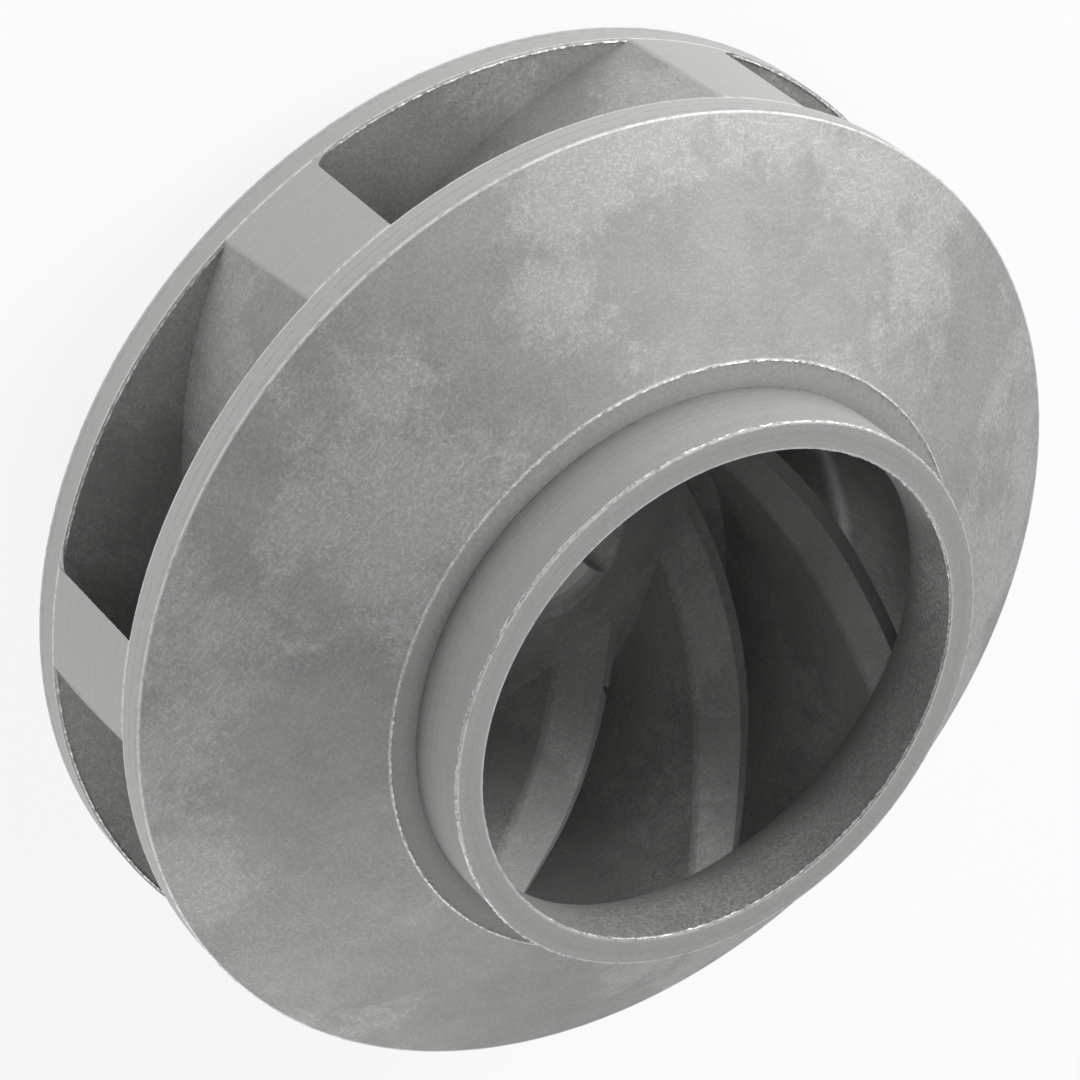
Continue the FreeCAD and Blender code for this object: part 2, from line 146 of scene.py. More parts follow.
class Graph:
    """A short way to write the arithmetic of a material's masks and mixes."""

    def __init__(self, tree: bpy.types.NodeTree) -> None:
        """Keep the tree that the nodes go into."""
        self.tree = tree

    def math(self, operation: str,
             *values: float | bpy.types.NodeSocket) -> bpy.types.NodeSocket:
        """Add a Math node.

        Args:
            operation: The node's operation, such as "MULTIPLY".
            values: Numbers or sockets, in the order of its inputs.

        Returns:
            The result's socket.
        """
        node = self.tree.nodes.new("ShaderNodeMath")
        node.operation = operation
        for slot, value in enumerate(values):
            if isinstance(value, (int, float)):
                node.inputs[slot].default_value = value
            else:
                self.tree.links.new(value, node.inputs[slot])
        return node.outputs[0]

    def ramp(self, value: bpy.types.NodeSocket, low: float, high: float,
             start: float = 0.0, end: float = 1.0) -> bpy.types.NodeSocket:
        """Map a value smoothly from one range to another.

        Args:
            value: The socket to map.
            low: Where the ramp starts.
            high: Where it ends.
            start: The result at and before low.
            end: The result at and past high.

        Returns:
            The result's socket.
        """
        node = add_node(self.tree, "ShaderNodeMapRange",
                        {"interpolation_type": "SMOOTHSTEP", 1: low, 2: high, 3: start, 4: end},
                        {0: value})
        return node.outputs[0]

    def blend(self, kind: Blend, amount: float | bpy.types.NodeSocket,
              first: tuple | bpy.types.NodeSocket,
              second: tuple | bpy.types.NodeSocket) -> bpy.types.NodeSocket:
        """Lay the second colour over the first.

        Args:
            kind: The way of blending.
            amount: How much of the second shows.
            first: The colour below.
            second: The colour above.

        Returns:
            The mixed colour's socket.
        """
        node = self.tree.nodes.new("ShaderNodeMix")
        node.data_type = "RGBA"
        node.blend_type = kind.value
        for slot, value in ((0, amount), (6, first), (7, second)):
            if isinstance(value, (int, float, tuple)):
                node.inputs[slot].default_value = value
            else:
                self.tree.links.new(value, node.inputs[slot])
        return node.outputs[2]

    def band(self, value: bpy.types.NodeSocket, low: float, high: float,
             soft: float) -> bpy.types.NodeSocket:
        """Find where a value lies between two limits.

        Args:
            value: The socket to test.
            low: The lower limit.
            high: The upper limit.
            soft: Half the width of the soft edge at each limit.

        Returns:
            A socket that is 1 between the limits and 0 outside them.
        """
        rise = self.ramp(value, low - soft, low + soft)
        fall = self.ramp(value, high - soft, high + soft, 1.0, 0.0)
        return self.math("MULTIPLY", rise, fall)

    def widest(self, masks: list[bpy.types.NodeSocket]) -> bpy.types.NodeSocket:
        """Join masks.

        Args:
            masks: Sockets that are 1 where each mask applies.

        Returns:
            A socket that is 1 wherever one of them is.
        """
        joined = masks[0]
        for mask in masks[1:]:
            joined = self.math("MAXIMUM", joined, mask)
        return joined

    def distance(self, radius: bpy.types.NodeSocket, height: bpy.types.NodeSocket,
                 at_radius: float, at_height: float) -> bpy.types.NodeSocket:
        """Measure how far a point is from a ring round the axis.

        Args:
            radius: The point's distance from the axis in millimetres.
            height: The point's height in millimetres.
            at_radius: The ring's radius in millimetres.
            at_height: The ring's height in millimetres.

        Returns:
            The distance's socket, in millimetres.
        """
        across = self.math("SUBTRACT", radius, at_radius)
        along = self.math("SUBTRACT", height, at_height)
        return self.math("SQRT", self.math("ADD", self.math("MULTIPLY", across, across),
                                           self.math("MULTIPLY", along, along)))

    def noise(self, place: bpy.types.NodeSocket, size: float, detail: float,
              rough: float) -> bpy.types.NodeSocket:
        """Add a noise.

        Args:
            place: The vector that it is drawn on.
            size: The width of its features in millimetres.
            detail: How many finer layers it has.
            rough: How strong each finer layer is.

        Returns:
            The noise's socket.
        """
        node = add_node(self.tree, "ShaderNodeTexNoise",
                        {"Scale": per_mm(size), "Detail": detail, "Roughness": rough},
                        {"Vector": place})
        return node.outputs[0]


@dataclass(frozen=True)
class SandCastIron:
    """Grey iron, sand cast and shot blasted, then turned on its rims, neck and hub.

    Blasting leaves a matt, even grey with a felt-like grain. Hand grinding leaves paler patches
    with ragged ends and short strokes. Turned metal is a little brighter and carries fine rings,
    and every worn edge shows a thin bright line.
    """

    wheel: Wheel
    skin: str = "a1a19f"
    skin_dark: str = "989896"
    ground: str = "b0b0ae"
    stroke: str = "c2c2c0"
    turned: str = "b6b6b4"
    ledge: str = "b4b4b2"
    edge: str = "dadad8"
    pit: str = "7c7c7a"
    metallic: float = 0.55
    patch_mm: float = 52.0
    patch_span: tuple[float, float] = (0.58, 0.7)
    patch_share: float = 0.75
    cloud_mm: float = 16.0
    cloud_span: tuple[float, float] = (0.3, 0.7)
    smear_mm: float = 2.6
    smear_raggedness: float = 0.1
    # Blasted grain is about 0.2 mm, too fine for the render, so it is drawn at 0.7 mm
    grit_mm: float = 0.7
    grit_raggedness: float = 0.12
    grit_tone: float = 0.07
    grit_span: tuple[float, float] = (0.25, 0.75)
    grit_on_cast: float = 1.4
    grit_on_turned: float = 0.9
    # Grinding scratches are about 0.15 mm wide, so they are drawn at 0.46 mm to show
    stroke_mm: float = 0.46
    stroke_stretch: float = 9.0
    stroke_tilts: tuple[float, float] = (0.35, 0.2)
    stroke_turns: tuple[float, ...] = (18.0, 75.0, 131.0)
    stroke_span: tuple[float, float] = (0.55, 0.72)
    stroke_on_skin: float = 0.25
    stroke_on_patch: float = 0.74
    pit_mm: float = 1.9
    pit_span: tuple[float, float] = (0.1, 0.28)
    pit_clouds: tuple[float, float] = (0.36, 0.5)
    pit_share: float = 0.3
    # The tool's feed is about 0.2 mm, so its rings are drawn at 0.5 mm to show
    ring_mm: float = 0.5
    ring_tone: float = 0.04
    ring_span: tuple[float, float] = (0.35, 0.65)
    edge_mm: float = 0.34
    edge_lump_mm: float = 1.6
    edge_gaps: tuple[float, float] = (0.34, 0.52)
    edge_least: float = 0.25
    scribe_mm: float = 0.14
    scribe_depth: float = 0.22
    scribe_gaps: tuple[float, float] = (0.42, 0.5)
    # Painted shade: the corner at the neck's foot and the neck's side are darkened towards the
    # shoulder
    corner_painted_shade_mm: float = 3.2
    corner_painted_shade: float = 0.88
    neck_side_painted_shade: tuple[float, float] = (0.24, 0.06)
    rough_span: tuple[float, float] = (0.3, 0.7)
    roughness: tuple[float, float] = (0.6, 0.74)
    turned_polish: float = 0.1
    relief_mm: float = 0.2
    relief_strength: float = 0.4
    grit_relief: float = 0.55
    cloud_relief: float = 0.6
    ring_relief: float = 0.35
    relief_on_turned: float = 0.35

    def material(self) -> bpy.types.Material:
        """Build the material.

        Returns:
            The finished material.
        """
        material = bpy.data.materials.new("sand_cast_grey_iron")
        material.use_nodes = True
        tree = material.node_tree
        tree.nodes.clear()
        g = Graph(tree)
        place = add_node(tree, "ShaderNodeTexCoord").outputs["Object"]
        split = add_node(tree, "ShaderNodeSeparateXYZ", links={0: place})
        x, y, z = split.outputs
        flat = g.math("ADD", g.math("MULTIPLY", x, x), g.math("MULTIPLY", y, y))
        radius = g.math("MULTIPLY", g.math("SQRT", flat), 1.0 / MM)
        height = g.math("MULTIPLY", z, 1.0 / MM)

        grit = g.noise(place, self.grit_mm, 2.0, 0.75)
        cloud = g.noise(place, self.cloud_mm, 3.0, 0.65)
        smear = g.noise(place, self.smear_mm, 2.0, 0.65)
        patch = self.patches(g, place, grit, smear)
        scratches = self.strokes(g, place)
        pits = self.pits(g, place, cloud)
        turned = self.turned_mask(g, radius, height)
        rings_place = add_node(tree, "ShaderNodeCombineXYZ",
                               links={0: g.math("MULTIPLY", radius, MM),
                                      1: g.math("MULTIPLY", height, MM)})
        rings = g.noise(rings_place.outputs[0], self.ring_mm, 2.0, 0.65)

        colour = g.blend(Blend.MIX, g.ramp(cloud, *self.cloud_span), linear(self.skin_dark),
                         linear(self.skin))
        colour = g.blend(Blend.MIX, g.math("MULTIPLY", patch, self.patch_share), colour,
                         linear(self.ground))
        amount = g.ramp(patch, 0.0, 1.0, self.stroke_on_skin, self.stroke_on_patch)
        colour = g.blend(Blend.MIX, g.math("MULTIPLY", scratches, amount), colour,
                         linear(self.stroke))
        colour = g.blend(Blend.MIX, g.math("MULTIPLY", pits, self.pit_share), colour,
                         linear(self.pit))
        colour = g.blend(Blend.MIX, turned, colour, linear(self.turned))
        colour = g.blend(Blend.MIX, self.ledge_mask(g, radius, height), colour,
                         linear(self.ledge))
        tone = self.tone(g, radius, height, turned, grit, rings, smear)
        tone_colour = add_node(tree, "ShaderNodeCombineColor", links={0: tone, 1: tone, 2: tone})
        colour = g.blend(Blend.MULTIPLY, 1.0, colour, tone_colour.outputs[0])
        lumps = g.noise(place, self.edge_lump_mm, 2.0, 0.75)
        colour = g.blend(Blend.MIX, self.worn_edges(g, radius, height, lumps), colour,
                         linear(self.edge))

        rough = g.ramp(grit, *self.rough_span, *self.roughness)
        rough = g.math("SUBTRACT", rough, g.math("MULTIPLY", turned, self.turned_polish))
        bump = add_node(tree, "ShaderNodeBump",
                        {"Strength": self.relief_strength, "Distance": self.relief_mm * MM},
                        {"Height": self.relief(g, turned, grit, cloud, rings)})
        shader = add_node(tree, "ShaderNodeBsdfPrincipled", {"Metallic": self.metallic},
                          {"Base Color": colour, "Roughness": rough, "Normal": bump.outputs[0]})
        add_node(tree, "ShaderNodeOutputMaterial", links={"Surface": shader.outputs[0]})
        return material

    def patches(self, g: Graph, place: bpy.types.NodeSocket, grit: bpy.types.NodeSocket,
                smear: bpy.types.NodeSocket) -> bpy.types.NodeSocket:
        """Find the ground patches, whose ends are ragged.

        Args:
            g: The material's graph.
            place: Where the point lies on the part.
            grit: The blasted grain.
            smear: A coarser noise.

        Returns:
            A socket that is 1 on ground metal and 0 on the blasted skin.
        """
        base = g.noise(place, self.patch_mm, 5.0, 0.66)
        ragged = g.math("ADD", g.math("MULTIPLY", grit, self.grit_raggedness),
                        g.math("MULTIPLY", smear, self.smear_raggedness))
        return g.ramp(g.math("ADD", base, ragged), *self.patch_span)

    def strokes(self, g: Graph, place: bpy.types.NodeSocket) -> bpy.types.NodeSocket:
        """Lay short scratches that run several ways round the axis.

        Args:
            g: The material's graph.
            place: Where the point lies on the part.

        Returns:
            A socket that is 1 in a scratch and 0 elsewhere.
        """
        layers = []
        for turn in self.stroke_turns:
            along = add_node(
                g.tree, "ShaderNodeMapping",
                {"vector_type": "TEXTURE", "Rotation": (*self.stroke_tilts, math.radians(turn)),
                 "Scale": (self.stroke_stretch, 1.0, 1.0)}, {"Vector": place})
            lines = g.noise(along.outputs[0], self.stroke_mm, 1.0, 0.6)
            layers.append(g.ramp(lines, *self.stroke_span))
        return g.widest(layers)

    def pits(self, g: Graph, place: bpy.types.NodeSocket,
             cloud: bpy.types.NodeSocket) -> bpy.types.NodeSocket:
        """Scatter small casting pits over some stretches of the skin.

        Args:
            g: The material's graph.
            place: Where the point lies on the part.
            cloud: The noise that says where pits may lie.

        Returns:
            A socket that is 1 in a pit and 0 elsewhere.
        """
        cells = add_node(g.tree, "ShaderNodeTexVoronoi", {"Scale": per_mm(self.pit_mm)},
                         {"Vector": place})
        dots = g.ramp(cells.outputs["Distance"], *self.pit_span, 1.0, 0.0)
        return g.math("MULTIPLY", dots, g.ramp(cloud, *self.pit_clouds, 1.0, 0.0))

    def tone(self, g: Graph, radius: bpy.types.NodeSocket, height: bpy.types.NodeSocket,
             turned: bpy.types.NodeSocket, grit: bpy.types.NodeSocket,
             rings: bpy.types.NodeSocket, smear: bpy.types.NodeSocket) -> bpy.types.NodeSocket:
        """Work out how much lighter or darker than its colour each point is.

        Args:
            g: The material's graph.
            radius: The distance from the axis in millimetres.
            height: The height above the rear hub face in millimetres.
            turned: The mask of turned metal.
            grit: The blasted grain.
            rings: The tool's rings.
            smear: The noise that interrupts the scribed lines.

        Returns:
            A socket of about 1 that the colour is multiplied by.
        """
        wheel = self.wheel
        ring_tone = g.math("MULTIPLY",
                           g.ramp(rings, *self.ring_span, -self.ring_tone, self.ring_tone),
                           turned)
        grain_tone = g.math("MULTIPLY",
                            g.ramp(grit, *self.grit_span, -self.grit_tone, self.grit_tone),
                            g.ramp(turned, 0.0, 1.0, self.grit_on_cast, self.grit_on_turned))
        eye_wall = g.band(radius, wheel.eye_radius - 0.4, wheel.eye_radius + 0.4, 0.1)
        eye_wall = g.math("MULTIPLY", eye_wall,
                          g.ramp(height, wheel.shoulder - 6.0, wheel.shoulder))
        grain_tone = g.math("MULTIPLY", grain_tone, g.math("ADD", 1.0, eye_wall))
        tone = g.math("ADD", 1.0, g.math("ADD", ring_tone, grain_tone))
        # Painted shade on the neck's side and in the corner at its root
        tone = g.math("MULTIPLY", tone, self.painted_neck_shade(g, radius, height))
        scribes = g.math("MULTIPLY", self.scribed_lines(g, radius, height),
                         g.ramp(smear, *self.scribe_gaps))
        return g.math("SUBTRACT", tone, g.math("MULTIPLY", scribes, self.scribe_depth))

    def relief(self, g: Graph, turned: bpy.types.NodeSocket, grit: bpy.types.NodeSocket,
               cloud: bpy.types.NodeSocket, rings: bpy.types.NodeSocket) -> bpy.types.NodeSocket:
        """Add up the fine relief of the skin and of the turned metal.

        Args:
            g: The material's graph.
            turned: The mask of turned metal.
            grit: The blasted grain.
            cloud: The skin's slow waves.
            rings: The tool's rings.

        Returns:
            The height for the bump.
        """
        relief = g.math("ADD", g.math("MULTIPLY", grit, self.grit_relief),
                        g.math("MULTIPLY", cloud, self.cloud_relief))
        cast = g.math("SUBTRACT", 1.0, turned)
        relief = g.math("MULTIPLY", relief, g.ramp(cast, 0.0, 1.0, self.relief_on_turned, 1.0))
        return g.math("ADD", relief, g.math("MULTIPLY", g.math("MULTIPLY", rings, turned),
                                            self.ring_relief))

    def turned_mask(self, g: Graph, radius: bpy.types.NodeSocket,
                    height: bpy.types.NodeSocket) -> bpy.types.NodeSocket:
        """Find where a tool has passed.

        Args:
            g: The material's graph.
            radius: The distance from the axis in millimetres.
            height: The height above the rear hub face in millimetres.

        Returns:
            A socket that is 1 on turned metal and 0 on the cast skin.
        """
        wheel = self.wheel
        rim = g.ramp(radius, wheel.outer_radius - 0.5, wheel.outer_radius - 0.1)
        over = g.ramp(height, wheel.shoulder + 0.1, wheel.shoulder + 1.6)
        outside = g.ramp(radius, wheel.neck_radius - 0.5, wheel.neck_radius - 0.1)
        neck = g.math("MULTIPLY", over, outside)
        face = g.ramp(height, wheel.front_face - 0.4, wheel.front_face - 0.1)
        hub = g.ramp(radius, wheel.bore_radius + 0.2, wheel.bore_radius + 1.6, 1.0, 0.0)
        rear = g.ramp(height, 0.1, 0.4, 1.0, 0.0)
        return g.widest([rim, neck, face, hub, rear])

    def ledge_mask(self, g: Graph, radius: bpy.types.NodeSocket,
                   height: bpy.types.NodeSocket) -> bpy.types.NodeSocket:
        """Find the flat ring at the foot of the neck.

        Args:
            g: The material's graph.
            radius: The distance from the axis in millimetres.
            height: The height above the rear hub face in millimetres.

        Returns:
            A socket that is 1 on the ring and 0 elsewhere.
        """
        wheel = self.wheel
        level = g.band(height, wheel.shoulder - 0.1, wheel.shoulder + 1.2, 0.1)
        ring = g.band(radius, wheel.neck_radius, wheel.shoulder_radius - 0.1, 0.1)
        return g.math("MULTIPLY", level, ring)

    def painted_neck_shade(self, g: Graph, radius: bpy.types.NodeSocket,
                   height: bpy.types.NodeSocket) -> bpy.types.NodeSocket:
        """Find the painted shade on the neck's side and in the corner at its root, darkest near the
        shoulder.

        Args:
            g: The material's graph.
            radius: The distance from the axis in millimetres.
            height: The height above the rear hub face in millimetres.

        Returns:
            A socket that is 1 away from the neck and less where shade is painted on it.
        """
        wheel = self.wheel
        gap = g.distance(radius, height, wheel.neck_radius, wheel.shoulder)
        # Painted shade in the corner where the ledge meets the neck
        corner = g.ramp(gap, 0.0, self.corner_painted_shade_mm, self.corner_painted_shade, 1.0)
        # Painted shade on the neck's side, darker towards its root
        side = g.band(radius, wheel.neck_radius - 0.1, wheel.neck_radius + 0.1, 0.1)
        side = g.math("MULTIPLY", side,
                      g.ramp(height, wheel.shoulder, wheel.front_face - 3.0,
                             *self.neck_side_painted_shade))
        side = g.math("MULTIPLY", side, g.ramp(height, wheel.shoulder - 0.3, wheel.shoulder))
        return g.math("MULTIPLY", corner, g.math("SUBTRACT", 1.0, side))

    def scribed_lines(self, g: Graph, radius: bpy.types.NodeSocket,
                      height: bpy.types.NodeSocket) -> bpy.types.NodeSocket:
        """Find the fine dark lines that the tool has left along both rims.

        Args:
            g: The material's graph.
            radius: The distance from the axis in millimetres.
            height: The height above the rear hub face in millimetres.

        Returns:
            A socket that is 1 on a line and 0 elsewhere.
        """
        wheel = self.wheel
        lines = []
        for level in (wheel.back_face + 1.0, wheel.back_face + 1.5, wheel.outlet_roof + 2.6,
                      wheel.rim_top - 1.3, wheel.rim_top - 0.8):
            gap = g.math("ABSOLUTE", g.math("SUBTRACT", height, level))
            lines.append(g.ramp(gap, self.scribe_mm * 0.4, self.scribe_mm, 1.0, 0.0))
        return g.math("MULTIPLY", g.widest(lines),
                      g.ramp(radius, wheel.outer_radius - 0.4, wheel.outer_radius - 0.2))

    def worn_edges(self, g: Graph, radius: bpy.types.NodeSocket, height: bpy.types.NodeSocket,
                   ragged: bpy.types.NodeSocket) -> bpy.types.NodeSocket:
        """Find the thin bright lines along the turned edges.

        Args:
            g: The material's graph.
            radius: The distance from the axis in millimetres.
            height: The height above the rear hub face in millimetres.
            ragged: A noise that breaks the lines up.

        Returns:
            A socket that is 1 on an edge and 0 elsewhere.
        """
        wheel = self.wheel
        corners = (
            (wheel.shoulder_radius, wheel.shoulder),
            (wheel.neck_radius, wheel.front_face),
            (wheel.eye_radius, wheel.front_face),
            (wheel.outer_radius, wheel.rim_top),
            (wheel.outer_radius, wheel.back_face),
            (wheel.outer_radius, wheel.outlet_floor),
            (wheel.outer_radius, wheel.outlet_roof),
        )
        lines = []
        for at_radius, at_height in corners:
            gap = g.distance(radius, height, at_radius, at_height)
            lines.append(g.ramp(gap, self.edge_mm * 0.4, self.edge_mm * 1.5, 1.0, 0.0))
        return g.math("MULTIPLY", g.widest(lines),
                      g.ramp(ragged, *self.edge_gaps, self.edge_least, 1.0))


@dataclass(frozen=True)
class TornMetal:
    """Fresh metal of a burr, torn up by the tool: paler and brighter than the skin round it."""

    colour: str = "dededc"
    shade: str = "b4b4b2"
    metallic: float = 0.55
    grain_mm: float = 0.6
    grain_span: tuple[float, float] = (0.35, 0.6)
    rough_span: tuple[float, float] = (0.3, 0.7)
    roughness: tuple[float, float] = (0.4, 0.6)

    def material(self) -> bpy.types.Material:
        """Build the material.

        Returns:
            The finished material.
        """
        material = bpy.data.materials.new("torn_grey_iron")
        material.use_nodes = True
        tree = material.node_tree
        tree.nodes.clear()
        g = Graph(tree)
        place = add_node(tree, "ShaderNodeTexCoord").outputs["Object"]
        grain = g.noise(place, self.grain_mm, 3.0, 0.7)
        colour = g.blend(Blend.MIX, g.ramp(grain, *self.grain_span), linear(self.shade),
                         linear(self.colour))
        rough = g.ramp(grain, *self.rough_span, *self.roughness)
        shader = add_node(tree, "ShaderNodeBsdfPrincipled", {"Metallic": self.metallic},
                          {"Base Color": colour, "Roughness": rough})
        add_node(tree, "ShaderNodeOutputMaterial", links={"Surface": shader.outputs[0]})
        return material


def finish_piece(piece: bpy.types.Object, name: str, material: bpy.types.Material) -> None:
    """Name a modelled piece, dress it and let it ride on the casting.

    Args:
        piece: The piece, with its place in its mesh.
        name: Its name.
        material: Its finish.
    """
    piece.name = name
    piece.data.name = name
    piece.data.materials.clear()
    piece.data.materials.append(material)
    bpy.ops.object.select_all(action="DESELECT")
    piece.select_set(True)
    bpy.context.view_layer.objects.active = piece
    bpy.ops.object.shade_smooth_by_angle(angle=math.radians(50))
    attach(piece, "root")
    LOG.info("%s made with %d faces", name, len(piece.data.polygons))


def copies_round(piece: bpy.types.Object, count: int) -> list[bpy.types.Object]:
    """Copy a piece evenly round the axis, each copy with its own mesh.

    Args:
        piece: The first piece.
        count: How many there are in all.

    Returns:
        The first piece and its copies, in order.
    """
    pieces = [piece]
    for number in range(1, count):
        bpy.ops.object.select_all(action="DESELECT")
        piece.select_set(True)
        bpy.context.view_layer.objects.active = piece
        bpy.ops.object.duplicate(linked=False)
        copy = bpy.context.object
        copy.rotation_euler = (0.0, 0.0, 2 * math.pi * number / count)
        bpy.ops.object.transform_apply(location=True, rotation=True, scale=True)
        pieces.append(copy)
    return pieces


def settle(piece: bpy.types.Object) -> None:
    """Put a new primitive's place and turn into its mesh."""
    bpy.context.view_layer.objects.active = piece
    bpy.ops.object.transform_apply(location=True, rotation=True, scale=True)


def swept(centre: tuple[float, float], sweep: float, step: float, radius: float) -> None:
    """Spin the open profile about an upright axis in edit mode and face it outwards.

    Args:
        centre: The axis's x and y in millimetres.
        sweep: How far it is spun in degrees.
        step: The length of one step in millimetres.
        radius: The profile's distance from the axis in millimetres.
    """
    steps = max(4, math.ceil(abs(math.radians(sweep)) * radius / step))
    bpy.ops.mesh.select_all(action="SELECT")
    bpy.ops.mesh.spin(steps=steps, dupli=False, angle=-math.radians(sweep),
                      use_auto_merge=False, use_normal_flip=False,
                      center=(centre[0] * MM, centre[1] * MM, 0.0), axis=(0.0, 0.0, 1.0))
    bpy.ops.mesh.select_all(action="SELECT")
    bpy.ops.mesh.remove_doubles(threshold=0.002 * MM)
    bpy.ops.mesh.normals_make_consistent(inside=False)


@dataclass
class RootFillets:
    """The rounded roots that a casting has where a vane rises from the back shroud."""

    wheel: Wheel
    size: float = 2.9
    seat: float = 0.3
    overrun: float = 8.0
    rounds: int = 7
    hollow: float = 0.086
    step: float = 1.2
    short_of_rim: float = 0.15

    def cove(self) -> bpy.types.Object:
        """Model a hollow fillet along the outer arc of the first vane's suction side.

        Returns:
            The fillet as a closed mesh, which starts outside the rim.
        """
        wheel = self.wheel
        x, y, radius, start, sweep = wheel.vane_arcs()[0]
        early = math.degrees(self.overrun / radius)
        full = self.size + self.seat
        middle = radius - (full / 2 - self.seat)
        turn = math.radians(start - early)
        bpy.ops.object.select_all(action="DESELECT")
        bpy.ops.mesh.primitive_plane_add(
            size=full * MM, rotation=(math.pi / 2, 0.0, turn),
            location=((x + middle * math.cos(turn)) * MM, (y + middle * math.sin(turn)) * MM,
                      (wheel.outlet_floor + full / 2 - self.seat) * MM))
        piece = bpy.context.object
        settle(piece)
        bpy.ops.object.mode_set(mode="EDIT")
        bpy.ops.mesh.select_all(action="DESELECT")
        mesh = bmesh.from_edit_mesh(piece.data)
        mesh.verts.ensure_lookup_table()
        axis = Vector((x * MM, y * MM))
        # The corner of the square that lies away from both the vane and the shroud
        free = max(mesh.verts, key=lambda v: v.co.z * 2 - (v.co.xy - axis).length)
        free.select = True
        bmesh.update_edit_mesh(piece.data)
        bpy.ops.mesh.bevel(offset=self.size * MM, segments=self.rounds, profile=self.hollow,
                           affect="VERTICES")
        swept((x, y), sweep + early, self.step, radius)
        bpy.ops.object.mode_set(mode="OBJECT")
        return piece

    def trim(self, piece: bpy.types.Object) -> None:
        """Cut a fillet off flush with the turned rim, a hair inside it.

        Args:
            piece: The fillet, which starts outside the rim.
        """
        wheel = self.wheel
        away = math.degrees(self.size / 2 / math.sin(math.radians(wheel.vane_angle))
                            / wheel.outer_radius)
        turn = math.radians(wheel.vane_phase - away)
        outwards = (math.cos(turn), math.sin(turn), 0.0)
        reach = (wheel.outer_radius - self.short_of_rim) * MM
        bpy.ops.object.select_all(action="DESELECT")
        piece.select_set(True)
        bpy.context.view_layer.objects.active = piece
        bpy.ops.object.mode_set(mode="EDIT")
        bpy.ops.mesh.select_all(action="SELECT")
        bpy.ops.mesh.bisect(plane_co=(outwards[0] * reach, outwards[1] * reach, 0.0),
                            plane_no=outwards, use_fill=True, clear_outer=True)
        bpy.ops.object.mode_set(mode="OBJECT")

    def build(self, material: bpy.types.Material) -> None:
        """Model the fillet of every vane.

        Args:
            material: The casting's finish.
        """
        strip = self.cove()
        self.trim(strip)
        for number, piece in enumerate(copies_round(strip, self.wheel.vane_count), start=1):
            finish_piece(piece, f"vane_root_{number}", material)


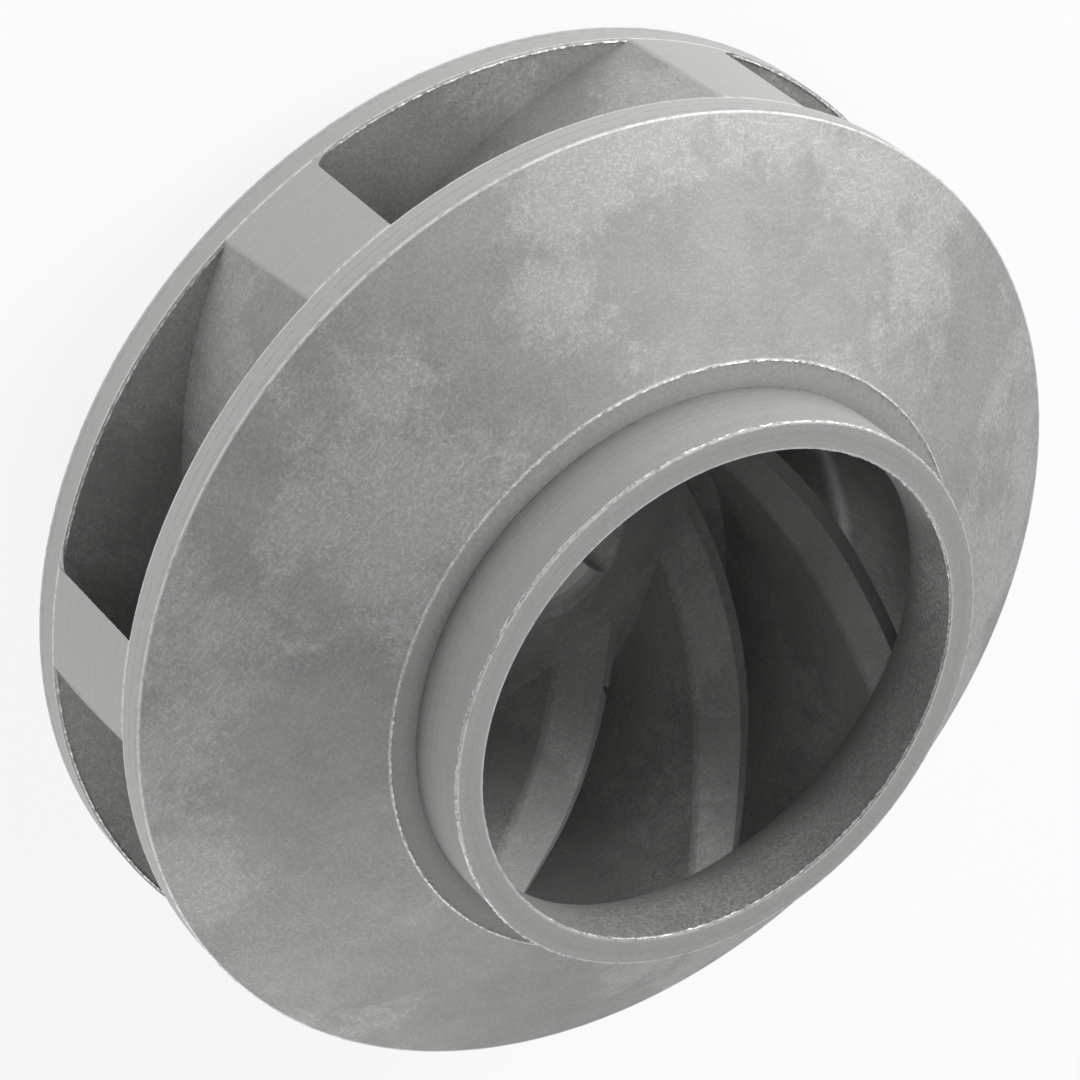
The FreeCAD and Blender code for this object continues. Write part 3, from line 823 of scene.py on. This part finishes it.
@dataclass
class Burrs:
    """Ragged slivers of metal that turning and grinding leave along the edges."""

    wheel: Wheel
    thickness: float = 0.26
    raggedness: float = 0.6
    lump_mm: float = 0.8
    step: float = 0.45
    sides: int = 6
    clear: float = 2.6
    mid_level: float = 0.52
    post_shift: float = -0.14

    def bead(self, radius: float, height: float, start: float, sweep: float) -> bpy.types.Object:
        """Model a ragged bead along an arc about the shaft axis.

        Args:
            radius: The arc's radius in millimetres.
            height: Its height in millimetres.
            start: Its first direction in degrees.
            sweep: Its sweep in degrees.

        Returns:
            The bead as a closed mesh.
        """
        turn = math.radians(start)
        bpy.ops.object.select_all(action="DESELECT")
        bpy.ops.mesh.primitive_circle_add(
            vertices=self.sides, radius=self.thickness * MM, fill_type="NGON",
            rotation=(math.pi / 2, 0.0, turn),
            location=(radius * math.cos(turn) * MM, radius * math.sin(turn) * MM, height * MM))
        piece = bpy.context.object
        settle(piece)
        bpy.ops.object.mode_set(mode="EDIT")
        swept((0.0, 0.0), sweep, self.step, radius)
        bpy.ops.object.mode_set(mode="OBJECT")
        return self.torn(piece)

    def post(self, radius: float, direction: float, low: float, high: float) -> bpy.types.Object:
        """Model a ragged bead that stands parallel to the shaft axis.

        Args:
            radius: Its distance from the axis in millimetres.
            direction: Its direction round the axis in degrees.
            low: The height at which it starts in millimetres.
            high: The height at which it ends in millimetres.

        Returns:
            The bead as a closed mesh.
        """
        turn = math.radians(direction)
        bpy.ops.object.select_all(action="DESELECT")
        bpy.ops.mesh.primitive_circle_add(
            vertices=self.sides, radius=self.thickness * MM, fill_type="NGON",
            location=(radius * math.cos(turn) * MM, radius * math.sin(turn) * MM, low * MM))
        piece = bpy.context.object
        settle(piece)
        bpy.ops.object.mode_set(mode="EDIT")
        rise = (high - low) / math.ceil((high - low) / self.step)
        for _ in range(math.ceil((high - low) / self.step)):
            bpy.ops.mesh.extrude_region_move(
                TRANSFORM_OT_translate={"value": (0.0, 0.0, rise * MM)})
        bpy.ops.mesh.select_all(action="SELECT")
        bpy.ops.mesh.normals_make_consistent(inside=False)
        bpy.ops.object.mode_set(mode="OBJECT")
        return self.torn(piece)

    def torn(self, piece: bpy.types.Object) -> bpy.types.Object:
        """Push a bead's surface in and out at random.

        Args:
            piece: The smooth bead.

        Returns:
            The same bead with its torn surface.
        """
        texture = bpy.data.textures.new("torn", "CLOUDS")
        texture.noise_scale = self.lump_mm * MM
        texture.noise_depth = 3
        rough = piece.modifiers.new("torn", "DISPLACE")
        rough.texture = texture
        rough.texture_coords = "LOCAL"
        rough.strength = self.raggedness * MM
        rough.mid_level = self.mid_level
        bpy.context.view_layer.objects.active = piece
        bpy.ops.object.modifier_apply(modifier=rough.name)
        return piece

    def build(self, material: bpy.types.Material) -> None:
        """Model the burrs round the neck, the shoulder and every outlet.

        Args:
            material: The finish of torn metal.
        """
        wheel = self.wheel
        under = wheel.front_face - self.thickness - self.raggedness / 2
        rings = (("shoulder_burr", wheel.shoulder_radius - 0.06, wheel.shoulder - 0.06),
                 ("neck_burr", wheel.neck_radius - 0.02, under),
                 ("eye_burr", wheel.eye_radius + 0.02, under))
        for name, radius, height in rings:
            finish_piece(self.bead(radius, height, 0.0, 360.0), name, material)
        rim = wheel.outer_radius - self.thickness - self.raggedness / 2
        across = math.degrees(wheel.vane_foot / math.sin(math.radians(wheel.vane_angle))
                              / wheel.outer_radius)
        behind = math.degrees((wheel.outer_radius - rim) / math.tan(math.radians(wheel.vane_angle))
                              / wheel.outer_radius) + self.post_shift
        start = wheel.vane_phase + across
        sweep = wheel.pitch - across
        parts = [self.bead(rim, wheel.outlet_floor + 0.02, start, sweep),
                 self.bead(rim, wheel.outlet_roof - 0.02, start, sweep),
                 self.post(rim, wheel.vane_phase + behind, wheel.outlet_floor + self.clear,
                           wheel.outlet_roof)]
        bpy.ops.object.select_all(action="DESELECT")
        for part in parts:
            part.select_set(True)
        bpy.context.view_layer.objects.active = parts[0]
        bpy.ops.object.join()
        for number, piece in enumerate(copies_round(parts[0], wheel.vane_count), start=1):
            finish_piece(piece, f"outlet_burr_{number}", material)


@dataclass
class HoleThread:
    """The coarse rings that a tap has left in the small hole beside the hub."""

    wheel: Wheel
    crest: float = 0.24
    pitch: float = 0.75
    turns: int = 5
    step: float = 0.3

    def build(self, material: bpy.types.Material) -> None:
        """Model the crests, the highest of them at the hole's mouth.

        Args:
            material: The finish of torn metal.
        """
        wheel = self.wheel
        turn = math.radians(wheel.hole_direction)
        x = wheel.hole_reach * math.cos(turn)
        y = wheel.hole_reach * math.sin(turn)
        crests = []
        for number in range(self.turns):
            bpy.ops.object.select_all(action="DESELECT")
            bpy.ops.mesh.primitive_circle_add(
                vertices=4, radius=self.crest * MM, fill_type="NGON",
                rotation=(math.pi / 2, 0.0, 0.0),
                location=((x + wheel.hole_radius) * MM, y * MM,
                          (wheel.hole_floor - number * self.pitch) * MM))
            ring = bpy.context.object
            settle(ring)
            bpy.ops.object.mode_set(mode="EDIT")
            swept((x, y), 360.0, self.step, wheel.hole_radius)
            bpy.ops.object.mode_set(mode="OBJECT")
            crests.append(ring)
        bpy.ops.object.select_all(action="DESELECT")
        for ring in crests:
            ring.select_set(True)
        bpy.context.view_layer.objects.active = crests[0]
        bpy.ops.object.join()
        finish_piece(crests[0], "hole_thread", material)


@dataclass
class PhotoCamera:
    """The camera at the photograph's viewing angle, turned about its own line of sight."""

    elevation: float = 45.5261
    roll: float = 131.411
    distance: float = 808.27
    pan_right: float = 6.95
    pan_up: float = -6.45
    aim_height: float = 12.0
    frame_px: float = 1080.0
    focal_px: float = 4147.886
    sensor: float = 36.0

    def build(self) -> bpy.types.Object:
        """Place the camera.

        Returns:
            The camera object.
        """
        tilt = math.radians(self.elevation)
        turn = math.radians(self.roll)
        offset = Vector((0.0, -math.cos(tilt), math.sin(tilt))) * self.distance
        ahead = -offset.normalized()
        right = ahead.cross(Vector((0.0, 0.0, 1.0))).normalized()
        up = right.cross(ahead)
        across = math.cos(turn) * right + math.sin(turn) * up
        above = math.cos(turn) * up - math.sin(turn) * right
        offset += self.pan_right * across + self.pan_up * above
        place = (offset + Vector((0.0, 0.0, self.aim_height))) * MM
        data = bpy.data.cameras.new("photo_camera")
        data.sensor_width = self.sensor
        data.lens = self.sensor * self.focal_px / self.frame_px
        data.clip_start = 10 * MM
        camera = bpy.data.objects.new("photo_camera", data)
        columns = Matrix((across, above, -ahead)).transposed()
        camera.matrix_world = Matrix.Translation(place) @ columns.to_4x4()
        bpy.context.scene.collection.objects.link(camera)
        bpy.context.scene.camera = camera
        return camera


@dataclass
class Studio:
    """A pale floor under soft lamps and an even white surround."""

    floor_size: float = 6.0
    paper: str = "f2f2f2"
    surround: float = 0.4
    whiteness: float = 0.85
    floor_glow: float = 0.5
    lamp_distance: float = 1.0
    lamp_size: float = 0.5
    # Name, azimuth from +X and elevation in degrees, power in watts
    lamps: tuple[tuple[str, float, float, float], ...] = (
        ("key_lamp", 180.0, 32.0, 5.9),
        ("low_lamp", 205.0, 20.0, 2.2),
        ("fill_lamp", 32.0, 18.0, 3.1),
        ("side_lamp", 297.0, 11.0, 1.1),
    )

    def build(self) -> None:
        """Lay the floor, light it and set the surround."""
        self.lay_floor()
        for name, azimuth, elevation, power in self.lamps:
            self.add_lamp(name, azimuth, elevation, power)
        world = bpy.data.worlds.new("white_surround")
        world.use_nodes = True
        world.node_tree.nodes["Background"].inputs[1].default_value = self.surround
        world.node_tree.nodes["Background"].inputs[0].default_value = (1.0, 1.0, 1.0, 1.0)
        bpy.context.scene.world = world

    def lay_floor(self) -> None:
        """Lay a plain pale floor that keeps the wheel's soft shadow."""
        bpy.ops.object.select_all(action="DESELECT")
        bpy.ops.mesh.primitive_plane_add(size=self.floor_size, location=(0.0, 0.0, 0.0))
        floor = bpy.context.object
        floor.name = "floor"
        # Matt paper gives an even pale ground, on which the shadow stays soft
        material = bpy.data.materials.new("white_paper")
        material.use_nodes = True
        tree = material.node_tree
        tree.nodes.clear()
        paper = add_node(tree, "ShaderNodeBsdfDiffuse", {"Color": linear(self.paper)})
        glow = add_node(tree, "ShaderNodeEmission", {"Color": (1.0, 1.0, 1.0, 1.0), "Strength": 1.0})
        path = add_node(tree, "ShaderNodeLightPath")
        g = Graph(tree)
        seen = g.math("MAXIMUM", path.outputs["Is Camera Ray"], path.outputs["Is Glossy Ray"])
        seen = g.math("MAXIMUM", seen, path.outputs["Is Transmission Ray"])
        share = g.math("MAXIMUM", g.math("MULTIPLY", seen, self.whiteness), self.floor_glow)
        mixed = add_node(tree, "ShaderNodeMixShader",
                         links={0: share, 1: paper.outputs[0], 2: glow.outputs[0]})
        add_node(tree, "ShaderNodeOutputMaterial", links={"Surface": mixed.outputs[0]})
        floor.data.materials.append(material)

    def add_lamp(self, name: str, azimuth: float, elevation: float, power: float) -> None:
        """Hang a square soft lamp that points at the wheel.

        Args:
            name: The lamp's name.
            azimuth: Its direction round the wheel in degrees from +X.
            elevation: Its height in degrees above the floor.
            power: Its power in watts.
        """
        data = bpy.data.lights.new(name, "AREA")
        data.energy = power
        data.size = self.lamp_size
        lamp = bpy.data.objects.new(name, data)
        turn, lift = math.radians(azimuth), math.radians(elevation)
        towards = Vector((math.cos(turn) * math.cos(lift), math.sin(turn) * math.cos(lift),
                          math.sin(lift)))
        lamp.matrix_world = (Matrix.Translation(towards * self.lamp_distance)
                             @ towards.to_track_quat("Z", "Y").to_matrix().to_4x4())
        bpy.context.scene.collection.objects.link(lamp)


def dress(node: str, material: bpy.types.Material) -> None:
    """Give a CAD node its material.

    Args:
        node: The node's name.
        material: Its finish.
    """
    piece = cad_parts[node]
    piece.data.materials.clear()
    piece.data.materials.append(material)
    LOG.info("%s dressed in %s", node, material.name)


def main() -> None:
    """Dress the casting, light it and place the camera."""
    logging.basicConfig(level=logging.INFO, format="%(message)s")
    wheel = Wheel()
    iron = SandCastIron(wheel).material()
    torn = TornMetal().material()
    dress("impeller", iron)
    RootFillets(wheel).build(iron)
    Burrs(wheel).build(torn)
    HoleThread(wheel).build(torn)
    Studio().build()
    PhotoCamera().build()
    bpy.context.scene.view_settings.view_transform = "Standard"


if __name__ == "__main__":
    main()
